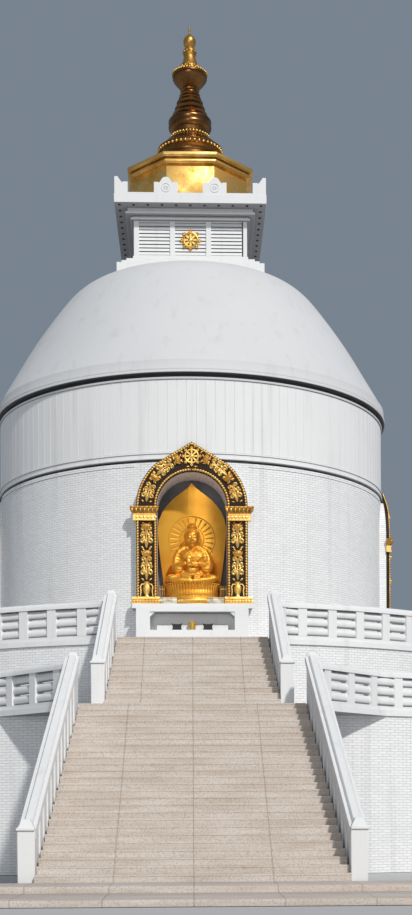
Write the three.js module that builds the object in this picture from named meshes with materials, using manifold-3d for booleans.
// A white peace stupa on two round terraces, about 35 m tall.
// A wide stair climbs the front in two flights, between solid balustrades.
// The drum carries four gilded niches, each with a seated figure, and a bell-shaped dome.
// A square louvred box, a gilded octagon and a ringed gilded spire stand on the dome.
// Millimetres, +Z up. The origin is on the axis at ground level, and the stair faces -Y.
import * as THREE from "three";
import { mergeVertices } from "three/addons/utils/BufferGeometryUtils.js";
import Module from "manifold-3d";

const wasm = await Module();
wasm.setup();

// Driving dimensions
const GAP = 0.3; // between pieces that are cut to each other
const BITE = 5; // how far joined solids reach into each other

// Two broad steps in front of the stair
const BROAD_STEP_RISE = 150;
const LOWER_STEP = { frontY: -30700, half: 6400 };
const UPPER_STEP = { frontY: -28200, half: 5300 };

// Flights, a little narrower at the top
// landingBays: parapet bays from the middle of the stair to where the floor edge turns round
const LOWER_FLIGHT = {
  risers: 26,
  footY: -26500,
  topY: -18400,
  footHalf: 3720,
  topHalf: 3310,
  landingBays: 6,
};
const LOWER_FLOOR_Z = 5120; // top of the lower terrace floor
const UPPER_FLIGHT = {
  risers: 12,
  footY: -17240,
  topY: -13500,
  footHalf: 2650,
  topHalf: 2470,
  landingBays: 3,
};
const UPPER_FLOOR_Z = 7670; // top of the upper terrace floor

// Terraces
const FLOOR_THICK = 180;
const FLOOR_OVERHANG = 60; // floor slab past the wall under it
const LOWER_TERRACE_R = 16500;
const UPPER_TERRACE_R = 13300;
const LOWER_BAYS = 100;
const UPPER_BAYS = 78;
const PARAPET_HEIGHT = 1250; // floor to the top of the coping
const COPING_THICK = 210;
const COPING_WIDTH = 420;
const POST_DEPTH = 320;
const PANEL_DEPTH = 170;
const POST_SHARE = 0.3; // of one bay
const PARAPET_SETBACK = 240; // floor edge to the middle of the parapet

// Balustrades of the flights
const RAIL_FOOT_HEIGHT = 950; // nosing line to the top of the coping, at the newel
const RAIL_TOP_HEIGHT = 1330; // the same at the floor above
const RAIL_THICK = 260;
const RAIL_WIDTH = 430;
const RAIL_WALL = 300;
const NEWEL_SIZE = 440;
const NEWEL_CAP = 120;
const NEWEL_LIP = 40;

// Drum
const DRUM_R = 7950;
const NICHE_SLOT_HALF = 2100; // half width of the masonry round a niche
const NICHE_BACK_Y = -6650; // flat back wall of a niche
const DRUM_TOP_Z = 14860;
const LOWER_BAND = { r: 8010, topZ: 15130 };
const BOARD_BAND = { r: 7960, topZ: 17980 };
const EAVE = { neckR: 7990, lipR: 8130, lipZ: 18200, topZ: 18500 };

// Niches
const PEDESTAL = { half: 2030, frontY: -8700, topZ: 9370 };
const SILL = { half: 2190, frontY: -8240, backY: -7700, topZ: 9540 };
const PEDESTAL_RECESS = { half: 1530, backY: -8050, lowZ: 8520, highZ: 9180 };
const NICHE_FRONT_Y = -7960;
const ARCH = { innerHalf: 1285, outerHalf: 2040, springZ: 13110, shoulderBearing: 50, apexZ: 15470 };
const ARCH_FACETS = 16;
const FRAME_DEPTH = 190;
const FRAME_BASE = { half: 2190, height: 200 };
const FRAME_CAPITAL = { half: 2260, lowZ: 12540 };
const MANDORLA = { half: 1260, thick: 90, lowZ: SILL.topZ, lowHalf: 950, wideZ: 12300, apexZ: 14310 };
const FIGURE_Y = -7450;
const FIGURE_BASE = { half: 1180, depth: 1300, topZ: 9790 };
const LOTUS = { rX: 1040, rY: 620, topZ: 10380 };
const KNEES = { rX: 980, rY: 560, topZ: 10850 };
const TORSO = { rX: 560, rY: 360, shoulderZ: 11750 };
const HEAD = { r: 270, centreZ: 12230, knotZ: 12590 };

// Dome: radius and height of points on its outline, from the eave up
const DOME_OUTLINE = [
  [8060, EAVE.topZ],
  [7450, 19550],
  [6700, 20820],
  [5900, 22000],
  [5100, 23020],
  [4400, 23530],
  [3700, 23690],
  [2970, 23740],
  [0, 23760],
];
const DOME_RINGS = 9;

// Square louvred box on the dome
const BOX_STEPS = [
  { half: 2970, topZ: 24020 },
  { half: 2600, topZ: 24320 },
  { half: 2340, topZ: 24520 },
];
const BOX_FOOT_Z = 23300;
const BOX_HALF = 2300;
const BOX_TOP_Z = 25960;
const CORNICE = { half: 3060, steps: 3, edgeZ: 26370, topZ: 26730 };
const ANTEFIX = { height: 680, thick: 150, cornerWidth: 500, midWidth: 900, midX: 880 };

// Gilded octagon and spire
const OCTAGON = { acrossFlats: 4690, topZ: 28290 };
const OCTAGON_LIPS = [
  { acrossFlats: 4980, topZ: 28440 },
  { acrossFlats: 5220, topZ: 28660 },
];
// Radius and height of the spire's outline, under its rings and over them
const SPIRE_SKIRT = [
  [1300, 28660],
  [1300, 29500],
  [1380, 29620],
  [1370, 29860],
  [1120, 30160],
  [860, 30420],
  [830, 30640],
  [900, 30780],
  [900, 31120],
  [800, 31220],
];
const SPIRE_RINGS = { count: 5, lowZ: 31240, highZ: 32300, lowR: 760, highR: 430, neckShare: 0.88 };
const PARASOL = [
  [400, 32370],
  [510, 32520],
  [704, 32760],
  [758, 32880],
  [743, 33080],
  [630, 33250],
  [486, 33340],
];
const FINIAL = [
  [418, 33420],
  [272, 33730],
  [243, 33860],
  [280, 34050],
  [170, 34240],
  [250, 34380],
  [267, 34490],
  [200, 34680],
  [60, 34790],
  [30, 34800],
  [30, 35180],
];

const ROUND_FACETS = 72;
const SPIRE_FACETS = 18;
const FIGURE_FACETS = 14;

// Finishes
const finish = (color, roughness, metalness = 0) =>
  new THREE.MeshStandardMaterial({ color, roughness, metalness });
const whitewash = finish(0xe9e8e4, 0.8);
const paintedBrick = finish(0xe2e0da, 0.85);
const stairStone = finish(0xc9bba8, 0.9);
const gilding = finish(0xd9a23a, 0.35, 0.9);
const darkGilding = finish(0x9a6a2a, 0.4, 0.9);

const stupa = new THREE.Group();
stupa.name = "stupa";

function place(name, geometry, material, parent = stupa) {
  const mesh = new THREE.Mesh(geometry, material);
  mesh.name = name;
  parent.add(mesh);
}

// A closed solid for joining and cutting, from any closed geometry
function solid(geometry) {
  const bare = geometry.clone();
  for (const name of Object.keys(bare.attributes)) if (name !== "position") bare.deleteAttribute(name);
  const merged = mergeVertices(bare, 1e-3);
  return new wasm.Manifold(
    new wasm.Mesh({
      numProp: 3,
      vertProperties: merged.attributes.position.array,
      triVerts: new Uint32Array(merged.index.array),
    }),
  );
}

function geometryOf(shape) {
  const mesh = shape.getMesh();
  return new THREE.BufferGeometry()
    .setAttribute("position", new THREE.BufferAttribute(new Float32Array(mesh.vertProperties), 3))
    .setIndex(new THREE.BufferAttribute(new Uint32Array(mesh.triVerts), 1));
}

const join = (shapes) => shapes.reduce((all, one) => all.add(one));

function box(x0, x1, y0, y1, z0, z1) {
  const block = new THREE.BoxGeometry(Math.abs(x1 - x0), y1 - y0, z1 - z0);
  return block.translate((x0 + x1) / 2, (y0 + y1) / 2, (z0 + z1) / 2);
}

const outlineShape = (points) => new THREE.Shape(points.map(([a, b]) => new THREE.Vector2(a, b)));
const carry = (points, depth) =>
  new THREE.ExtrudeGeometry(outlineShape(points), { depth, bevelEnabled: false });

// A plan in x and y, raised from z0 to z1
const raise = (points, z0, z1) => carry(points, z1 - z0).translate(0, 0, z0);
// A front view in x and z, carried from y0 back to y1
const carryBack = (points, y0, y1) => carry(points, y1 - y0).rotateX(Math.PI / 2).translate(0, y1, 0);
// A side view in y and z, carried from x0 to x1
const carryAcross = (points, x0, x1) =>
  carry(points, x1 - x0).rotateX(Math.PI / 2).rotateZ(Math.PI / 2).translate(x0, 0, 0);

function lathe(outline, facets) {
  const points = outline.map(([r, z]) => new THREE.Vector2(r, z));
  return new THREE.LatheGeometry(points, facets, Math.PI / facets).rotateX(Math.PI / 2);
}

const radians = (degrees) => (degrees * Math.PI) / 180;
const degrees = (angle) => (angle * 180) / Math.PI;
// A point on a circle; its bearing is in degrees from the front, positive to the right
const onCircle = (radius, bearing) => [
  radius * Math.sin(radians(bearing)),
  -radius * Math.cos(radians(bearing)),
];
const arc = (radius, from, to, count) =>
  Array.from({ length: count + 1 }, (_, i) => onCircle(radius, from + ((to - from) * i) / count));
const disc = (radius, z0, z1, facets = ROUND_FACETS) =>
  raise(arc(radius, 0, 360, facets).slice(1), z0, z1);
const regular = (acrossFlats, sides) =>
  arc(acrossFlats / 2 / Math.cos(Math.PI / sides), 180 / sides, 360 + 180 / sides, sides).slice(1);

// Broad steps and flights
const treadOf = (flight) => (flight.topY - flight.footY) / (flight.risers - 1);
const edgeOf = (flight) => flight.topY + treadOf(flight); // where the floor slab starts
const halfAt = (flight, y) =>
  flight.footHalf + ((flight.topHalf - flight.footHalf) * (y - flight.footY)) / (flight.topY - flight.footY);

function addLandingSteps() {
  const middleY = UPPER_STEP.frontY;
  const backY = LOWER_FLIGHT.footY - GAP;
  const lower = box(-LOWER_STEP.half, LOWER_STEP.half, LOWER_STEP.frontY, middleY + BITE, 0, BROAD_STEP_RISE);
  const upper = box(-UPPER_STEP.half, UPPER_STEP.half, middleY, backY, 0, 2 * BROAD_STEP_RISE);
  place("landing_steps", geometryOf(join([solid(lower), solid(upper)])), stairStone);
}

// Side view of a flight: risers and treads, then the floor edge, down to underZ
function flightOutline(flight, footZ, topZ, underZ, backY) {
  const rise = (topZ - footZ) / flight.risers;
  const points = [[flight.footY, underZ]];
  for (let i = 0; i < flight.risers; i++) {
    const y = flight.footY + i * treadOf(flight);
    if (i > 0 || footZ > underZ) points.push([y, footZ + i * rise]);
    points.push([y, footZ + (i + 1) * rise]);
  }
  const edge = edgeOf(flight);
  points.push([edge, topZ], [edge, topZ - FLOOR_THICK], [backY, topZ - FLOOR_THICK], [backY, underZ]);
  return points;
}

function addFlight(name, flight, footZ, topZ, underZ, wallR, bays) {
  const backY = -wallR + 1500;
  const side = flight.footHalf + 100;
  const across = carryAcross(flightOutline(flight, footZ, topZ, underZ, backY), -side, side);
  const y0 = flight.footY - BITE;
  const y1 = backY + BITE;
  const [half0, half1] = [halfAt(flight, y0), halfAt(flight, y1)];
  const plan = [[-half0, y0], [half0, y0], [half1, y1], [-half1, y1]];
  const taper = solid(raise(plan, underZ - BITE, topZ + BITE));
  const wall = solid(disc(wallR + GAP, underZ - BITE, topZ + BITE, bays));
  place(name, geometryOf(solid(across).intersect(taper).subtract(wall)), stairStone);
}

// A solid wall beside the flight, with its coping and a newel at the foot
function balustrade(flight, footZ, topZ, underZ, side) {
  const far = 2 * LOWER_TERRACE_R;
  const rise = (topZ - footZ) / flight.risers;
  const foot = footZ + rise + RAIL_FOOT_HEIGHT;
  const slope = (topZ + RAIL_TOP_HEIGHT - foot) / (flight.topY - flight.footY);
  const railTop = (y) => foot + slope * (y - flight.footY);
  const endY = edgeOf(flight) - GAP;
  const newelY = [flight.footY - NEWEL_SIZE / 2, flight.footY + NEWEL_SIZE / 2];
  const newelTop = railTop(newelY[1]) - RAIL_THICK;
  const strip = (from, to, y0) => {
    const at = (inset, y) => [side * (halfAt(flight, y) + GAP + inset), y];
    const points = [at(from, y0), at(to, y0), at(to, endY + BITE), at(from, endY + BITE)];
    return side > 0 ? points : points.reverse();
  };
  const sloped = (y0, low, high, plan) => {
    const sideView = [[y0, low(y0)], [endY, low(endY)], [endY, high(endY)], [y0, high(y0)]];
    const slice = solid(raise(plan, underZ - BITE, topZ + 2 * RAIL_TOP_HEIGHT));
    return solid(carryAcross(sideView, -far, far)).intersect(slice);
  };
  const y0 = newelY[1] - BITE;
  const inset = (RAIL_WIDTH - RAIL_WALL) / 2;
  const underRail = (y) => railTop(y) - RAIL_THICK;
  const wallPlan = strip(inset, inset + RAIL_WALL, y0 - BITE);
  const wall = sloped(y0, () => underZ, (y) => underRail(y) + BITE, wallPlan);
  const coping = sloped(newelY[0] + 100, underRail, railTop, strip(0, RAIL_WIDTH, newelY[0]));
  const x0 = side * (flight.footHalf + 8);
  const newel = solid(box(x0, x0 + side * NEWEL_SIZE, ...newelY, underZ, newelTop));
  const capEnd = x0 + side * (NEWEL_SIZE + NEWEL_LIP);
  const capTop = newelTop + NEWEL_CAP;
  const cap = solid(box(x0, capEnd, newelY[0] - NEWEL_LIP, newelY[1], newelTop - BITE, capTop));
  const stepInFront = box(-far, far, -far, flight.footY + GAP, underZ - BITE, footZ + GAP);
  return join([wall, coping, newel, cap]).subtract(solid(stepInFront));
}

function addBalustrades(storey, flight, footZ, topZ, underZ) {
  place(storey + "_balustrade_left", geometryOf(balustrade(flight, footZ, topZ, underZ, -1)), whitewash);
  place(storey + "_balustrade_right", geometryOf(balustrade(flight, footZ, topZ, underZ, 1)), whitewash);
}

// Floor edge on the right half: the stair's corner, then round to the back
function floorEdge(flight, radius, bays) {
  const corner = [halfAt(flight, edgeOf(flight)) + RAIL_WIDTH, edgeOf(flight)];
  const first = (360 / bays) * flight.landingBays;
  return { corner, rim: arc(radius, first, 180, bays / 2 - flight.landingBays) };
}

const mirrored = (points) => points.map(([x, y]) => [-x, y]).reverse();

function addFloor(name, flight, radius, bays, topZ) {
  const { corner, rim } = floorEdge(flight, radius, bays);
  const right = [corner, ...rim.slice(0, -1)];
  const back = rim[rim.length - 1];
  place(name, raise([...right, back, ...mirrored(right)], topZ - FLOOR_THICK, topZ), whitewash);
}

// Points beside a path, offset to its outer side, mitred at its corners
function beside(path, offset) {
  const normals = path.slice(1).map(([x, y], i) => {
    const [dx, dy] = [x - path[i][0], y - path[i][1]];
    const length = Math.hypot(dx, dy);
    return [dy / length, -dx / length];
  });
  return path.map(([x, y], i) => {
    const a = normals[Math.max(0, i - 1)];
    const b = normals[Math.min(normals.length - 1, i)];
    const scale = offset / (1 + a[0] * b[0] + a[1] * b[1]);
    return [x + (a[0] + b[0]) * scale, y + (a[1] + b[1]) * scale];
  });
}

const between = ([x0, y0], [x1, y1], share) => [x0 + (x1 - x0) * share, y0 + (y1 - y0) * share];

// A parapet along a path: a panel with a post in each bay, under a coping
function parapet(path, floorZ) {
  const inner = beside(path, -POST_DEPTH / 2);
  const face = beside(path, -POST_DEPTH / 2 + PANEL_DEPTH);
  const outer = beside(path, POST_DEPTH / 2);
  const teeth = path.slice(1).flatMap((_, i) => {
    const low = (1 - POST_SHARE) / 2;
    const high = 1 - low;
    return [
      between(face[i], face[i + 1], low),
      between(outer[i], outer[i + 1], low),
      between(outer[i], outer[i + 1], high),
      between(face[i], face[i + 1], high),
    ];
  });
  const outline = [face[0], ...teeth, face[face.length - 1], ...inner.reverse()];
  const copingZ = floorZ + PARAPET_HEIGHT - COPING_THICK;
  const coping = [...beside(path, COPING_WIDTH / 2), ...beside(path, -COPING_WIDTH / 2).reverse()];
  return join([
    solid(raise(outline, floorZ, copingZ + BITE)),
    solid(raise(coping, copingZ, floorZ + PARAPET_HEIGHT)),
  ]);
}

function addParapets(storey, flight, radius, bays, floorZ) {
  const { corner, rim } = floorEdge(flight, radius, bays);
  const start = [corner[0] - RAIL_WIDTH / 2, corner[1]];
  const line = beside([corner, ...rim], -PARAPET_SETBACK).slice(1);
  const span = Math.hypot(line[0][0] - start[0], line[0][1] - start[1]);
  const straightBays = Math.max(1, Math.round(span / ((2 * Math.PI * radius) / bays)));
  const straight = Array.from({ length: straightBays }, (_, i) => between(start, line[0], i / straightBays));
  straight[0] = between(start, line[0], -0.1);
  const end = line[line.length - 1];
  const path = [...straight, ...line.slice(0, -1), [-RAIL_WIDTH, end[1]]];
  const far = 2 * radius;
  const inFront = solid(box(-far, far, -far, corner[1] + GAP, 0, far));
  const leftHalf = solid(box(-far, GAP, -far, far, 0, far));
  const rightHalf = solid(box(0, far, -far, far, 0, far));
  const right = parapet(path, floorZ).subtract(inFront).subtract(leftHalf);
  const left = parapet(mirrored(path), floorZ).subtract(inFront).subtract(rightHalf);
  place(storey + "_parapet_right", geometryOf(right), whitewash);
  place(storey + "_parapet_left", geometryOf(left), whitewash);
}

// Drum: a core, four walls between the niches, and the bands over them
function addDrum() {
  const coreR = Math.hypot(NICHE_BACK_Y, NICHE_SLOT_HALF);
  const coreEdge = degrees(Math.atan(NICHE_SLOT_HALF / -NICHE_BACK_Y));
  const corner = (from) => arc(coreR, from + coreEdge, from + 90 - coreEdge, 8);
  const core = [0, 90, 180, 270].flatMap(corner);
  place("drum_core", raise(core, UPPER_FLOOR_Z, DRUM_TOP_Z), paintedBrick);

  const outerEdge = degrees(Math.asin((NICHE_SLOT_HALF + GAP) / DRUM_R));
  const innerR = coreR + GAP;
  const innerEdge = degrees(Math.asin((NICHE_SLOT_HALF + GAP) / innerR));
  ["front_right", "back_right", "back_left", "front_left"].forEach((corner, i) => {
    const from = 90 * i;
    const plan = [
      ...arc(DRUM_R, from + outerEdge, from + 90 - outerEdge, 12),
      ...arc(innerR, from + innerEdge, from + 90 - innerEdge, 8).reverse(),
    ];
    place("drum_wall_" + corner, raise(plan, UPPER_FLOOR_Z, DRUM_TOP_Z), paintedBrick);
  });

  place("lower_band", disc(LOWER_BAND.r, DRUM_TOP_Z, LOWER_BAND.topZ), whitewash);
  place("board_band", disc(BOARD_BAND.r, LOWER_BAND.topZ, BOARD_BAND.topZ), whitewash);
  const eave = [
    [0, BOARD_BAND.topZ],
    [EAVE.neckR, BOARD_BAND.topZ],
    [EAVE.lipR, EAVE.lipZ],
    [EAVE.lipR, EAVE.topZ],
    [0, EAVE.topZ],
  ];
  place("eave", lathe(eave, ROUND_FACETS), whitewash);
}

// Front view of an arch with a pointed top, half width by radius
function pointedArch() {
  const { outerHalf, springZ, shoulderBearing, apexZ } = ARCH;
  const curve = (from, to) =>
    Array.from({ length: 7 }, (_, i) => {
      const angle = radians(from + ((to - from) * i) / 6);
      return [outerHalf * Math.cos(angle), springZ + outerHalf * Math.sin(angle)];
    });
  return [...curve(0, shoulderBearing), [0, apexZ], ...curve(180 - shoulderBearing, 180)];
}

function archOpening(lowZ, half) {
  const curve = Array.from({ length: ARCH_FACETS + 1 }, (_, i) => {
    const angle = (Math.PI * i) / ARCH_FACETS;
    return [half * Math.cos(angle), ARCH.springZ + half * Math.sin(angle)];
  });
  return [[-half, lowZ], [half, lowZ], ...curve];
}

function nicheSurround() {
  const top = DRUM_TOP_Z - GAP;
  const block = solid(
    box(-NICHE_SLOT_HALF, NICHE_SLOT_HALF, NICHE_FRONT_Y, NICHE_BACK_Y - GAP, UPPER_FLOOR_Z, top),
  ).intersect(solid(disc(DRUM_R, UPPER_FLOOR_Z, top, ROUND_FACETS)));
  const { outerHalf } = ARCH;
  const outline = [[-outerHalf, SILL.topZ - BITE], [outerHalf, SILL.topZ - BITE], ...pointedArch()];
  const bay = solid(carryBack(outline, NICHE_FRONT_Y, -DRUM_R + 600)).intersect(
    solid(box(-outerHalf, outerHalf, NICHE_FRONT_Y - 10, -6000, UPPER_FLOOR_Z, top)),
  );
  const pedestal = solid(
    box(-PEDESTAL.half, PEDESTAL.half, PEDESTAL.frontY, -DRUM_R + 600, UPPER_FLOOR_Z, PEDESTAL.topZ),
  );
  const sill = solid(box(-SILL.half, SILL.half, SILL.frontY, SILL.backY, PEDESTAL.topZ - BITE, SILL.topZ));
  const { half, backY, lowZ, highZ } = PEDESTAL_RECESS;
  const recess = solid(box(-half, half, PEDESTAL.frontY - 10, backY, lowZ, highZ));
  const arch = archOpening(SILL.topZ, ARCH.innerHalf);
  const opening = solid(carryBack(arch, SILL.frontY - 10, NICHE_BACK_Y + 10));
  return join([block, bay, pedestal, sill]).subtract(recess).subtract(opening);
}

function nicheFrame() {
  const front = NICHE_FRONT_Y - GAP - FRAME_DEPTH;
  const back = NICHE_FRONT_Y - GAP;
  const { innerHalf, outerHalf, springZ } = ARCH;
  const low = SILL.topZ;
  const legs = [[-outerHalf, low], [outerHalf, low], ...pointedArch()];
  const baseTop = low + FRAME_BASE.height;
  const base = box(-FRAME_BASE.half, FRAME_BASE.half, front - 60, back, low, baseTop);
  const { half, lowZ } = FRAME_CAPITAL;
  const capital = box(-half, half, front - 60, back, lowZ, springZ);
  const opening = solid(carryBack(archOpening(low - 10, innerHalf), front - 100, back + 10));
  const band = solid(disc(LOWER_BAND.r + GAP, DRUM_TOP_Z - GAP, LOWER_BAND.topZ + GAP));
  return join([carryBack(legs, front, back), base, capital].map(solid)).subtract(opening).subtract(band);
}

function mandorla() {
  const { half, thick, lowZ, lowHalf, wideZ, apexZ } = MANDORLA;
  const side = new THREE.CubicBezierCurve(
    new THREE.Vector2(lowHalf, lowZ),
    new THREE.Vector2(half * 1.12, lowZ + 1200),
    new THREE.Vector2(half * 1.22, wideZ + 700),
    new THREE.Vector2(0, apexZ),
  ).getPoints(14);
  const right = side.map((p) => [Math.min(p.x, half), p.y]);
  const left = right.slice(0, -1).map(([x, z]) => [-x, z]).reverse();
  return carryBack([...right, ...left], NICHE_BACK_Y - 2 * GAP - thick, NICHE_BACK_Y - 2 * GAP);
}

// A round form with its own width and depth: rings of [width share, height]
function rounded(rings, rX, rY, facets = FIGURE_FACETS) {
  return lathe(rings, facets).scale(rX, rY, 1).translate(0, FIGURE_Y, 0);
}

function figure() {
  const low = SILL.topZ;
  const { half, depth, topZ } = FIGURE_BASE;
  const base = box(-half, half, FIGURE_Y - depth / 2, FIGURE_Y + depth / 2, low, topZ);
  const lotusRings = [
    [0, topZ - BITE],
    [0.8, topZ - BITE],
    [0.98, topZ + 180],
    [0.92, topZ + 300],
    [1, LOTUS.topZ - 60],
    [0.94, LOTUS.topZ],
    [0, LOTUS.topZ],
  ];
  const kneeRings = [
    [0, LOTUS.topZ - BITE],
    [0.92, LOTUS.topZ - BITE],
    [1, LOTUS.topZ + 160],
    [0.8, KNEES.topZ - 60],
    [0.4, KNEES.topZ],
    [0, KNEES.topZ],
  ];
  const { shoulderZ } = TORSO;
  const torsoRings = [
    [0, KNEES.topZ - 200],
    [0.9, KNEES.topZ - 200],
    [0.86, KNEES.topZ + 250],
    [1.12, shoulderZ - 250],
    [1.02, shoulderZ - 40],
    [0.42, shoulderZ + 90],
    [0.34, shoulderZ + 300],
    [0, shoulderZ + 300],
  ];
  const { r, centreZ, knotZ } = HEAD;
  const headRings = [
    [0, centreZ - 1.25 * r],
    [0.6, centreZ - 1.1 * r],
    [0.95, centreZ - 0.35 * r],
    [0.98, centreZ + 0.35 * r],
    [0.6, centreZ + 0.95 * r],
    [0.42, centreZ + 1.1 * r],
    [0.3, knotZ - 30],
    [0, knotZ],
  ];
  const lotus = rounded(lotusRings, LOTUS.rX, LOTUS.rY);
  const knees = rounded(kneeRings, KNEES.rX, KNEES.rY);
  const torso = rounded(torsoRings, TORSO.rX, TORSO.rY);
  const head = rounded(headRings, r, r * 1.05, FIGURE_FACETS - 4);
  return join([base, lotus, knees, torso, head].map(solid));
}

// The same niche on the four sides
function addNiches() {
  ["front", "right", "back", "left"].forEach((side, i) => {
    const turned = new THREE.Group();
    turned.rotation.z = (Math.PI / 2) * i;
    stupa.add(turned);
    place("niche_surround_" + side, geometryOf(nicheSurround()), whitewash, turned);
    place("niche_frame_" + side, geometryOf(nicheFrame()), gilding, turned);
    place("mandorla_" + side, mandorla(), gilding, turned);
    place("seated_figure_" + side, geometryOf(figure()), gilding, turned);
  });
}

function domeOutline() {
  const curve = new THREE.SplineCurve(DOME_OUTLINE.map(([r, z]) => new THREE.Vector2(r, z)));
  const points = curve.getPoints(DOME_RINGS).map((p) => [Math.max(0, p.x), p.y]);
  return [[0, EAVE.topZ], ...points];
}

function addDome() {
  const under = BOX_STEPS[0].half + GAP;
  const seat = solid(box(-under, under, -under, under, BOX_FOOT_Z, BOX_TOP_Z));
  place("dome", geometryOf(solid(lathe(domeOutline(), ROUND_FACETS)).subtract(seat)), whitewash);
}

const square = (half) => [[-half, -half], [half, -half], [half, half], [-half, half]];

// Louvred box, its stepped foot, its cornice and the upright tablets on the cornice
function addBox() {
  const feet = BOX_STEPS.map(({ half, topZ }, i) =>
    solid(raise(square(half), i ? BOX_STEPS[i - 1].topZ - BITE : BOX_FOOT_Z, topZ)),
  );
  const foot = BOX_STEPS[2].topZ;
  place("box_foot", geometryOf(join(feet)), whitewash);
  place("louvred_box", raise(square(BOX_HALF), foot, BOX_TOP_Z), whitewash);
  const { half, steps, edgeZ, topZ } = CORNICE;
  const rise = (edgeZ - BOX_TOP_Z) / steps;
  const mouldings = Array.from({ length: steps }, (_, i) => {
    const reach = ((half - 200 - BOX_HALF) * (i + 1)) / steps;
    return solid(raise(square(BOX_HALF + reach), BOX_TOP_Z + i * rise, edgeZ + BITE));
  });
  place("box_cornice", geometryOf(join([...mouldings, solid(raise(square(half), edgeZ, topZ))])), whitewash);
}

// Front views of the tablets: a whole one, and half of one at a corner
function midTablet(width, height) {
  const right = [
    [0.5 * width, 0],
    [0.5 * width, 0.55 * height],
    [0.31 * width, 0.66 * height],
    [0.275 * width, 0.86 * height],
  ];
  return [...right, [0, height], ...right.map(([x, z]) => [-x, z]).reverse()];
}

function cornerTablet(width, height) {
  return [
    [0, 0],
    [width, 0],
    [width, 0.55 * height],
    [0.55 * width, 0.66 * height],
    [0.5 * width, 0.86 * height],
    [0, height],
  ];
}

function addTablets() {
  const { half, topZ } = CORNICE;
  const { thick, cornerWidth, midWidth, midX, height } = ANTEFIX;
  const inside = solid(raise(square(half - thick), topZ - 10, topZ + 200));
  const kerb = solid(raise(square(half), topZ, topZ + 90)).subtract(inside);
  const middle = carryBack(midTablet(midWidth, height), -half, -half + thick).translate(0, 0, topZ);
  const leftCorner = cornerTablet(cornerWidth, height).map(([x, z]) => [x - half, z]);
  const views = [leftCorner, mirrored(leftCorner)];
  const corners = views.map((view) => carryBack(view, -half, -half + thick).translate(0, 0, topZ));
  const side = [middle.clone().translate(-midX, 0, 0), middle.clone().translate(midX, 0, 0), ...corners];
  const all = [0, 1, 2, 3].flatMap((turn) => side.map((one) => one.clone().rotateZ((turn * Math.PI) / 2)));
  place("cornice_tablets", geometryOf(join([kerb, ...all.map(solid)])), whitewash);
}

function addSpire() {
  const footZ = CORNICE.topZ;
  const body = solid(raise(regular(OCTAGON.acrossFlats, 8), footZ, OCTAGON.topZ + BITE));
  const lips = OCTAGON_LIPS.map(({ acrossFlats, topZ }, i) =>
    solid(raise(regular(acrossFlats, 8), i ? OCTAGON_LIPS[i - 1].topZ - BITE : OCTAGON.topZ, topZ)),
  );
  place("gilded_octagon", geometryOf(join([body, ...lips])), gilding);
  const { count, lowZ, highZ, lowR, highR, neckShare } = SPIRE_RINGS;
  const rings = Array.from({ length: count }, (_, i) => {
    const z = lowZ + ((highZ - lowZ) * i) / count;
    const step = (highZ - lowZ) / count;
    const r = lowR + ((highR - lowR) * i) / (count - 1);
    return [[r, z + 0.15 * step], [r, z + 0.6 * step], [r * neckShare, z + 0.9 * step]];
  }).flat();
  const lowest = SPIRE_SKIRT[0][1];
  const seam = PARASOL[0][1];
  const spire = [[0, lowest], ...SPIRE_SKIRT, ...rings, [highR * neckShare, seam], [0, seam]];
  place("ringed_spire", lathe(spire, SPIRE_FACETS), darkGilding);
  const tip = [0, FINIAL[FINIAL.length - 1][1]];
  place("parasol_and_finial", lathe([[0, seam], ...PARASOL, ...FINIAL, tip], SPIRE_FACETS), gilding);
}

const landingTop = 2 * BROAD_STEP_RISE;
const lowerRim = LOWER_TERRACE_R + FLOOR_OVERHANG;
const upperRim = UPPER_TERRACE_R + FLOOR_OVERHANG;
addLandingSteps();
addFlight("lower_flight", LOWER_FLIGHT, landingTop, LOWER_FLOOR_Z, 0, LOWER_TERRACE_R, LOWER_BAYS);
const [lowZ, highZ] = [LOWER_FLOOR_Z, UPPER_FLOOR_Z];
addFlight("upper_flight", UPPER_FLIGHT, lowZ, highZ, lowZ, UPPER_TERRACE_R, UPPER_BAYS);
addBalustrades("lower", LOWER_FLIGHT, landingTop, LOWER_FLOOR_Z, 0);
addBalustrades("upper", UPPER_FLIGHT, LOWER_FLOOR_Z, UPPER_FLOOR_Z, LOWER_FLOOR_Z);
place("lower_storey", disc(LOWER_TERRACE_R, 0, LOWER_FLOOR_Z - FLOOR_THICK, LOWER_BAYS), paintedBrick);
addFloor("lower_terrace_floor", LOWER_FLIGHT, lowerRim, LOWER_BAYS, LOWER_FLOOR_Z);
addParapets("lower", LOWER_FLIGHT, lowerRim, LOWER_BAYS, LOWER_FLOOR_Z);
const upperStorey = disc(UPPER_TERRACE_R, LOWER_FLOOR_Z, UPPER_FLOOR_Z - FLOOR_THICK, UPPER_BAYS);
place("upper_storey", upperStorey, paintedBrick);
addFloor("upper_terrace_floor", UPPER_FLIGHT, upperRim, UPPER_BAYS, UPPER_FLOOR_Z);
addParapets("upper", UPPER_FLIGHT, upperRim, UPPER_BAYS, UPPER_FLOOR_Z);
addDrum();
addNiches();
addDome();
addBox();
addTablets();
addSpire();

export default stupa;
